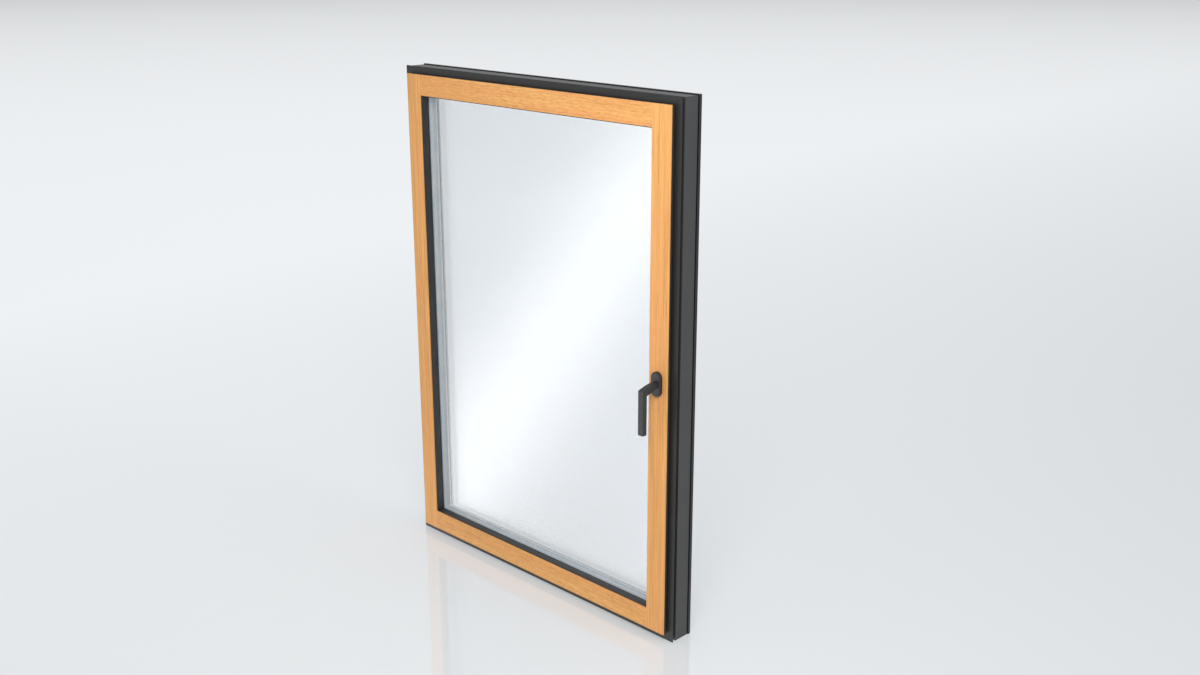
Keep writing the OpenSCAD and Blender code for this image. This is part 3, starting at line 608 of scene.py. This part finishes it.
def spacerOutline(width, thick):
    # bar whose inner face has a shallow channel in each gap, rounded towards the panes
    face = np.array([[0.86, 0.0], [0.97, 0.015], [1.0, 0.04], [1.0, 0.17], [0.97, 0.19],
                     [0.97, 0.24], [1.0, 0.26], [1.0, 0.74], [0.97, 0.76], [0.97, 0.81],
                     [1.0, 0.83], [1.0, 0.96], [0.97, 0.985], [0.86, 1.0]])
    back = np.array([[0.30, 1.0], [0.0, 0.90], [0.0, 0.10], [0.30, 0.0]])
    return np.concatenate([face, back]) * [width, thick]


spacerWidth = spacer["width"] * millimetre
low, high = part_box("spacer_inner")
spacerRectangle = rectangleOf(low, high)
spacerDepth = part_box("spacer_outer")[1].y - low.y
base, normal = cornerPath(spacerRectangle,
                          spacerWidth + spacer["cornerMore"] * millimetre)
addPiece("spacerBar",
         gridShape(carried(spacerOutline(spacerWidth, spacerDepth) + [0, low.y], base, normal),
                   wrapRows=True),
         "sash", finishes["spacer"], ["spacer_inner", "spacer_outer"])


def slabShape(rectangle, front, back):
    # flat sheet: the rectangle's outline at two depths, joined and closed
    x0, z0, x1, z1 = rectangle
    outline = np.array([[x0, z0], [x1, z0], [x1, z1], [x0, z1]])
    rows = [np.stack([outline[:, 0], np.full(4, y), outline[:, 1]], -1) for y in (front, back)]
    return gridShape(np.stack(rows))


low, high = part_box("pane_middle")
inset = spacerWidth - spacer["paneSunk"] * millimetre
easeEdges(addPiece("middlePaneSheet",
                   slabShape(spacerRectangle + np.array([1, 1, -1, -1]) * inset, low.y, high.y),
                   "sash", finishes["glass"], ["pane_middle"]),
          spacer["paneEase"] * millimetre)
print("seals, gaskets and spacers made")


# Turned parts: screws, cams, pins and plugs

def turned(profile, origin, axis, lobes=None, count=30):
    # profile rows (distance along the axis, radius) turned about it; a row of a recess
    # has radius * (1 + lobes * cos 6a), and the ends close to a point
    profile = np.array(profile, float)
    axis = np.array(axis, float)
    side = np.cross(axis, [0.0, 0.0, 1.0] if abs(axis[2]) < 0.5 else [0.0, 1.0, 0.0])
    other = np.cross(axis, side)
    angle = np.linspace(0, 2 * math.pi, count, endpoint=False)
    radius = profile[:, 1:2] * np.ones(count)
    if lobes is not None:
        radius = radius * (1 + np.array(lobes)[:, None] * np.cos(6 * angle))
    points = (np.array(origin) + profile[:, None, :1] * axis
              + radius[..., None] * (np.cos(angle)[:, None] * side
                                     + np.sin(angle)[:, None] * other))
    return gridShape(points)


def axisOf(points):
    # the longest direction of a turned solid, pointing to its wider end, and that end
    low, high = points.min(0), points.max(0)
    axis = int(np.argmax(high - low))
    middle = (low + high) / 2
    spread = np.linalg.norm(np.delete(points - middle, axis, 1), axis=1)
    nearLow = spread[points[:, axis] < low[axis] + 0.0006].max()
    nearHigh = spread[points[:, axis] > high[axis] - 0.0006].max()
    sign = 1.0 if nearHigh >= nearLow else -1.0
    direction = np.zeros(3)
    direction[axis] = sign
    tip = middle.copy()
    tip[axis] = high[axis] if sign > 0 else low[axis]
    return direction, tip, high[axis] - low[axis], spread.max()


# Screw kinds, in millimetres: head height, shank radius and the recess's radius
screwKinds = {"keep_screws": (1.5, 2.0, 1.35), "hinge_frame_screws": (1.8, 2.4, 1.6),
              "faceplate_screws": (1.2, 1.8, 1.2), "handle_screws": (2.8, 2.5, 1.7)}


def screwShape(points, headHeight, shankRadius, recess):
    # pan head with a six-lobe recess over a plain shank with a blunt point, from the top
    direction, tip, length, headRadius = axisOf(points)
    h, s, r = headHeight * millimetre, shankRadius * millimetre, recess * millimetre
    deep = 0.75 * h
    rows = np.array([(-deep, 0.0, 0), (-deep, r * 0.96, 0.11), (-0.04 * h, r, 0.13),
                     (0.0, r * 1.05, 0.12), (0.0, headRadius * 0.55, 0),
                     (-0.08 * h, headRadius * 0.74, 0), (-0.30 * h, headRadius * 0.92, 0),
                     (-0.60 * h, headRadius, 0), (-h, headRadius, 0), (-h, s, 0),
                     (-length + 0.5 * s, s, 0), (-length, 0.4 * s, 0), (-length, 0.0, 0)])
    return turned(rows[:, :2], tip, direction, rows[:, 2], 36)


for node, kind in screwKinds.items():
    shapes = [screwShape(points, *kind) for points in islandPoints(node)]
    addPiece(node.replace("_", "") + "Turned", joined(shapes), bodyOf[node],
             finishes[slotOf[node]], [node])


def countersunkShape(points):
    # flush screw: flat head with a six-lobe recess over a plain body, in head radii
    direction, tip, length, radius = axisOf(points)
    direction = np.array([0.0, -1.0, 0.0])
    tip[1] = points[:, 1].min()
    rows = np.array([(-0.5, 0.0, 0), (-0.5, 0.40, 0.12), (-0.02, 0.52, 0.13), (0.0, 0.55, 0.10),
                     (0.0, 0.93, 0), (-0.06, 1.0, 0), (-0.9, 1.0, 0),
                     (-length / radius + 0.8, 0.98, 0), (-length / radius, 0.3, 0),
                     (-length / radius, 0.0, 0)])
    return turned(rows[:, :2] * radius, tip, direction, rows[:, 2], 36)


addPiece("hingeSashScrewsTurned", joined([countersunkShape(points)
                                          for points in islandPoints("hinge_sash_screws")]),
         "sash", finishes["bright_steel"], ["hinge_sash_screws"])


def camShape(points):
    # mushroom cam: a domed and rimmed head over a slimmer shank, in head radii
    direction, tip, length, radius = axisOf(points)
    rows = np.array([(0.0, 0.0), (0.0, 0.42), (-0.06, 0.47), (-0.06, 0.55), (0.0, 0.60),
                     (-0.05, 0.80), (-0.18, 0.97), (-0.32, 1.0), (-0.44, 0.97),
                     (-0.47, 0.66), (-length / radius, 0.63), (-length / radius, 0.0)])
    return turned(rows * radius, tip, direction, count=36)


for node in ("cams_side", "cam_top"):
    addPiece(node.replace("_", "") + "Turned", joined([camShape(p) for p in islandPoints(node)]),
             bodyOf[node], finishes[slotOf[node]], [node])


def pinShape(points):
    # hinge pin with rounded ends and a groove near its top, in pin radii
    low, high = points.min(0), points.max(0)
    radius = (high[0] - low[0]) / 2
    length = high[2] - low[2]
    foot = (low + high) / 2
    foot[2] = low[2]
    rows = np.array([(0.0, 0.0), (0.0, 0.62), (0.10, 0.86), (0.32, 1.0),
                     (length / radius - 1.3, 1.0), (length / radius - 1.2, 0.88),
                     (length / radius - 0.9, 0.88), (length / radius - 0.8, 1.0),
                     (length / radius - 0.32, 1.0), (length / radius - 0.10, 0.86),
                     (length / radius, 0.62), (length / radius, 0.0)])
    return turned(rows * radius, foot, (0, 0, 1), count=32)


addPiece("hingePinsTurned", joined([pinShape(p) for p in islandPoints("hinge_pins")]),
         "frame", finishes["bright_steel"], ["hinge_pins"])


# Plugs, in millimetres: how far below the surface, and `top` is the flat top's part
plug = {"sunk": 0.05, "top": 0.86, "rim": 0.25, "depth": 2.2}


def plugShapes():
    # flush plugs in the outer ends of the fixing holes: a turned disc with an eased rim
    shapes = []
    for mount in record["mounts"]:
        radius = mount["dims"].get("r_mm", mount["dims"].get("hole_r_mm"))
        if radius is None:
            continue
        spacing = mount["dims"].get("spacing_y_mm", 0.0) * millimetre
        rows = np.array([(-plug["sunk"], 0), (-plug["sunk"], radius * plug["top"]),
                         (-plug["rim"], radius), (-plug["depth"], radius),
                         (-plug["depth"], 0)]) * millimetre
        axis = np.array(mount["axis"], float)
        place = np.array(mount["pos_m"], float)
        place[0] = axis[0] * frame["nodes"]["frame_jamb_right"].bound_box[6][0]
        for step in ((-0.5, 0.5) if spacing else (0.0,)):
            shapes.append(turned(rows, place + [0, 0, step * spacing], axis, count=32))
    return joined(shapes)


addPiece("fixingHolePlugs", plugShapes(), "frame",
         finishes["frame_powder_coat"], [])
print("screws, cams, pins and plugs made")


# Lever and rosette, in millimetres. A neck step is how far it stands in front of the
# rosette and how much slimmer than the neck it is; grip rows are distances below the elbow
handle = {"fillet": 3.0, "wall": 1.5, "holeRadius": 8.3, "collar": 8.0, "collarAhead": 0.4,
          "neck": 10.5, "neckSteps": ((0.5, 0.3), (0.8, 0.0), (1.8, 0.0), (2.2, 0.4), (2.4, 1.1)),
          "rootAhead": 3.2, "rootSlimmer": (1.4, 0.5), "elbowDrop": 4.2,
          "gripThick": 14.5, "gripWide": 18.0, "gripRows": (1.2, 20.0, 45.0, 70.0, 90.0),
          "tipEase": 0.5,
          "gripPower": 22.0,  # exponent of the grip's section: 2 is round, more is squarer
          "around": 96}  # points round the lever


def stadiumRow(wide, tall, angle):
    # the point of a stadium outline in each direction: where a ray at that angle from
    # the middle meets the straight side or the round end
    radius, half = wide / 2, (tall - wide) / 2
    c, s = np.cos(angle), np.abs(np.sin(angle))
    side = radius / np.maximum(np.abs(c), 1e-9)
    end = half * s + np.sqrt(np.maximum(radius ** 2 - (half * c) ** 2, 0))
    reach = np.where(side * s <= half, side, end)
    return np.stack([reach * c, reach * np.sin(angle)], -1)


def rosetteShape():
    # cup round the spindle: outer wall, filleted front edge, flat front in to the hole,
    # and back along the inside; every row blends a stadium into the round hole
    h = {key: np.multiply(value, millimetre) for key, value in handle.items()}
    low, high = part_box("rosette_cover")
    middle = np.array([(low.x + high.x) / 2, (low.z + high.z) / 2])
    wide, tall = high.x - low.x, high.z - low.z
    angle = np.linspace(0, 2 * math.pi, handle["around"] * 2, endpoint=False)
    hole = h["holeRadius"] * np.stack([np.cos(angle), np.sin(angle)], -1)

    def row(inset, y, share=0.0):
        outline = stadiumRow(wide - 2 * inset, tall - 2 * inset, angle)
        outline = outline * (1 - share) + hole * share + middle
        return np.stack([outline[:, 0], np.full(len(angle), y), outline[:, 1]], -1)

    fillet, wall = h["fillet"], h["wall"]
    turn = np.linspace(0, math.pi / 2, 9)
    rows = [row(0, high.y)]
    rows += [row(fillet * (1 - math.cos(t)), low.y + fillet * (1 - math.sin(t))) for t in turn]
    rows += [row(fillet, low.y, share) for share in (0.35, 0.7, 0.97, 1.0)]
    rows += [row(fillet, low.y + wall, 1.0), row(fillet, low.y + wall, 0.5),
             row(fillet, low.y + wall), row(wall, low.y + fillet), row(wall, high.y)]
    return gridShape(np.stack(rows), wrapRows=True)


addPiece("rosetteShell", rosetteShape(), "sash", finishes["handle_black"],
         ["rosette_cover"], 30)


def leverShape():
    # superellipse sections |u/a|^n + |v/b|^n = 1 along the lever: round in the rosette,
    # squarish at the elbow, where one section lies on the mitre, and down the grip
    h = {key: np.multiply(value, millimetre) for key, value in handle.items()}
    low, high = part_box("handle_lever")
    x = (low.x + high.x) / 2
    z = high.z - h["neck"]
    backY, frontY = high.y, low.y
    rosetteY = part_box("rosette_cover")[0].y
    halfThick, halfWide = h["gripThick"] / 2, h["gripWide"] / 2
    elbow = np.array([frontY + halfThick, z - h["elbowDrop"] - halfThick])
    mitre = np.array([-1.0, 1.0]) / math.sqrt(2)
    up = np.array([0.0, 1.0])
    front = np.array([-1.0, 0.0])
    collar, neck = h["collar"], h["neck"]
    ease = h["tipEase"]

    def mixRow(t):
        # between the neck's root and the elbow
        root = np.array([rosetteY - h["rootAhead"], z])
        v = up * (1 - t) + mitre * t
        return (root * (1 - t) + elbow * t, v / np.linalg.norm(v),
                (neck - h["rootSlimmer"][0]) * (1 - t) + halfWide * t,
                (neck - h["rootSlimmer"][1]) * (1 - t) + halfThick * math.sqrt(2) * t,
                2.0 / ((1 - t) ** 3 + (2.0 / handle["gripPower"]) * (1 - (1 - t) ** 3)))

    rows = [((backY, z), up, collar, collar, 2),
            ((rosetteY - h["collarAhead"], z), up, collar, collar, 2)]
    rows += [((rosetteY - ahead, z), up, neck - slimmer, neck - slimmer, 2)
             for ahead, slimmer in h["neckSteps"]]
    rows += [mixRow(t) for t in (0.0, 0.12, 0.25, 0.4, 0.6, 0.8, 0.94)]
    rows += [(elbow, mitre, halfWide, halfThick * math.sqrt(2), handle["gripPower"])]
    for drop in h["gripRows"]:
        rows.append((elbow - [0, halfThick + drop], front, halfWide, halfThick,
                     handle["gripPower"]))
    for shrink, rise in ((0.0, 1.0), (0.12, 0.5), (0.45, 0.12), (1.0, 0.0)):
        rows.append(((elbow[0], low.z + ease * rise), front, halfWide - ease * shrink,
                     halfThick - ease * shrink, handle["gripPower"]))
    angle = np.linspace(0, 2 * math.pi, handle["around"], endpoint=False)
    points = []
    for centre, v, a, b, power in rows:
        c, s = np.cos(angle), np.sin(angle)
        across = a * np.sign(c) * np.abs(c) ** (2 / power)
        along = b * np.sign(s) * np.abs(s) ** (2 / power)
        points.append(np.stack([x + across, centre[0] + along * v[0],
                                centre[1] + along * v[1]], -1))
    return gridShape(np.stack(points))


addPiece("leverGrip", leverShape(), "handle", finishes["handle_black"],
         ["handle_lever"], 28)
print("handle made")


# Floor: colour, gloss, and a glow that leans to one side by glowSlope a metre, within
# glowSpan of the middle, and fades out at glowReach
studio = {"floorRadius": 60.0, "floorTone": (0.46, 0.474, 0.484), "floorGloss": 0.025,
          "floorSink": 0.0005, "floorGlow": 0.32, "glowSlope": -0.042, "glowSpan": 4.0,
          "glowReach": 36.0, "world": (0.965, 0.983, 1.0), "worldStrength": 0.72}


def discShape(radius, rings=24, count=96):
    # radius grows with the square of the ring number, so the middle is finest
    reach = radius * (np.linspace(0, 1, rings + 1)[1:, None] ** 2)
    angle = np.linspace(0, 2 * math.pi, count, endpoint=False)
    points = np.stack([reach * np.cos(angle), reach * np.sin(angle),
                       np.zeros((rings, count))], -1)
    return points.reshape(-1, 3), gridFaces(rings, count, False, True) + [list(range(count))]


floorMaterial, tree = newMaterial("studioFloor")
haze = noise(tree, stretched(tree, (1, 1, 1)), 0.7, 2.0)
# glow strength = (glow + slope * x) * (1 - distance from the middle / reach)
spot = put(tree, "TexCoord").outputs["Object"]
spotX = put(tree, "SeparateXYZ", {"Vector": spot}).outputs["X"]
spotAway = put(tree, "VectorMath", {0: spot}, operation="LENGTH").outputs["Value"]
span = studio["glowSpan"]
leaning = arithmetic(tree, "ADD", studio["floorGlow"], between(
    tree, spotX, -span * studio["glowSlope"], span * studio["glowSlope"], -span, span))
fading = between(tree, spotAway, 1.0, 0.0, 0.0, studio["glowReach"])
glow = arithmetic(tree, "MULTIPLY", leaning, fading)
surface(tree, {"Base Color": grey(1.0, studio["floorTone"]), "Specular IOR Level": 0.8,
               "IOR": 1.55,
               "Emission Color": grey(1.0, studio["world"]),
               "Emission Strength": glow,
               "Roughness": between(tree, haze, studio["floorGloss"] - 0.01,
                                    studio["floorGloss"] + 0.01)})
floorMesh = bpy.data.meshes.new("studioFloor")
points, faces = discShape(studio["floorRadius"])
floorMesh.from_pydata(points.tolist(), [], faces)
floorMesh.materials.append(floorMaterial)
floor = bpy.data.objects.new("studioFloor", floorMesh)
floor.location.z = cadBox[0][2] - studio["floorSink"]
bpy.context.scene.collection.objects.link(floor)

world = bpy.data.worlds.new("studioWorld")
world.use_nodes = True
background = world.node_tree.nodes["Background"]
background.inputs["Color"].default_value = grey(1.0, studio["world"])
background.inputs["Strength"].default_value = studio["worldStrength"]
bpy.context.scene.world = world

# Soft lights: place, point aimed at, size, power, colour
softLights = {
    "keyLight": ((1.55, -1.5, 2.3), (0.5, 0.0, 1.1), 1.2, 36.0, (1.0, 0.985, 0.96)),
    "sideLight": ((4.2, 1.1, 2.6), (0.4, 0.0, 1.0), 2.0, 34.0, (1.0, 1.0, 1.0)),
}
for name, (place, target, size, power, colour) in softLights.items():
    lamp = bpy.data.lights.new(name, "AREA")
    lamp.shape = "DISK"
    lamp.size = size
    lamp.energy = power
    lamp.color = colour
    holder = bpy.data.objects.new(name, lamp)
    holder.location = place
    direction = np.array(target) - np.array(place)
    flat = math.hypot(direction[0], direction[1])
    holder.rotation_euler = (math.atan2(flat, -direction[2]), 0,
                             math.atan2(-direction[0], direction[1]))
    holder.visible_camera = False
    holder.visible_glossy = False  # a lamp's disc would show in the glossy floor
    bpy.context.scene.collection.objects.link(holder)

# Camera: metres, degrees and millimetres
view = {"place": (2.640, -2.485, 1.877), "down": 17.296, "turned": 44.225, "lens": 39.9,
        "sensor": 36.0}
camera = bpy.data.cameras.new("windowCamera")
camera.lens = view["lens"]
camera.sensor_width = view["sensor"]
cameraHolder = bpy.data.objects.new("windowCamera", camera)
cameraHolder.location = view["place"]
cameraHolder.rotation_euler = (math.radians(90 - view["down"]), 0,
                               math.radians(view["turned"]))
bpy.context.scene.collection.objects.link(cameraHolder)
bpy.context.scene.camera = cameraHolder
bpy.context.scene.view_settings.view_transform = "Standard"


# A sheet of light just over the floor, seen only in the glass. `middle`, `spread` and
# `slant` place it in the camera's view, in parts of its width; its strength is a base
# that rises by `lean` from one side to the other, with a bright band of `width` in it
lightSheet = {"middle": (-0.038, 0.005), "spread": 0.62, "slant": 0.70, "lift": 0.001,
              "farthest": 60.0, "colour": (1.0, 0.985, 0.99), "base": 0.06, "lean": 0.66,
              "band": 0.60, "width": 0.11}


def lightSheetShape(columns=24, rows=24):
    # rays through a slanted grid of the camera's view, (x, y) = middle + spread *
    # (s + slant * t, t), meet the glass, turn back (y -> -y) and run down to the floor
    s, t = np.meshgrid(np.linspace(-0.5, 0.5, columns), np.linspace(-0.5, 0.5, rows),
                       indexing="ij")
    spread = lightSheet["spread"]
    viewX = lightSheet["middle"][0] + spread * s + lightSheet["slant"] * spread * t
    viewY = lightSheet["middle"][1] + spread * t
    turn = np.array(cameraHolder.rotation_euler.to_matrix())
    ray = np.stack([viewX, viewY, -np.full(s.shape, camera.lens / camera.sensor_width)], -1)
    ray = ray @ turn.T
    eye = np.array(cameraHolder.location)
    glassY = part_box("pane_inner")[0].y
    meet = eye + ray * ((glassY - eye[1]) / ray[..., 1:2])
    back = ray * [1, -1, 1]
    ground = floor.location.z + lightSheet["lift"]
    reach = np.clip((ground - meet[..., 2:3]) / back[..., 2:3], 0, lightSheet["farthest"])
    points = meet + back * reach
    points[..., 2] = ground
    # seen from above the mirrored order of corners is the upward one
    return points.reshape(-1, 3), gridFaces(columns, rows, False, False), s.reshape(-1) + 0.5


sheetPoints, sheetFaces, sheetAcross = lightSheetShape()
sheetMesh = bpy.data.meshes.new("mirroredLight")
sheetMesh.from_pydata(sheetPoints.tolist(), [], sheetFaces)
across = sheetMesh.attributes.new("across", "FLOAT", "POINT")
across.data.foreach_set("value", sheetAcross.astype(np.float32))
sheetMaterial, tree = newMaterial("mirroredLight")
place = put(tree, "Attribute", attribute_name="across").outputs["Fac"]
offCentre = arithmetic(tree, "DIVIDE", arithmetic(tree, "SUBTRACT", place, 0.5),
                       lightSheet["width"])
bell = arithmetic(tree, "POWER", math.e, arithmetic(
    tree, "MULTIPLY", arithmetic(tree, "MULTIPLY", offCentre, offCentre), -1.0))
base = between(tree, place, lightSheet["base"], lightSheet["base"] + lightSheet["lean"])
strength = arithmetic(tree, "ADD", arithmetic(tree, "MULTIPLY", bell, lightSheet["band"]),
                      base)
glow = put(tree, "Emission", {"Color": grey(1.0, lightSheet["colour"]), "Strength": strength})
clear = put(tree, "BsdfTransparent")
added = put(tree, "AddShader", {0: glow.outputs[0], 1: clear.outputs[0]})
underneath = put(tree, "NewGeometry").outputs["Backfacing"]
upwards = put(tree, "MixShader", {0: underneath, 1: added.outputs[0], 2: clear.outputs[0]})
put(tree, "OutputMaterial", {"Surface": upwards.outputs[0]})
sheetMesh.materials.append(sheetMaterial)
sheet = bpy.data.objects.new("mirroredLight", sheetMesh)
sheet.visible_camera = False
sheet.visible_diffuse = False
sheet.visible_shadow = False
bpy.context.scene.collection.objects.link(sheet)
print("studio made")
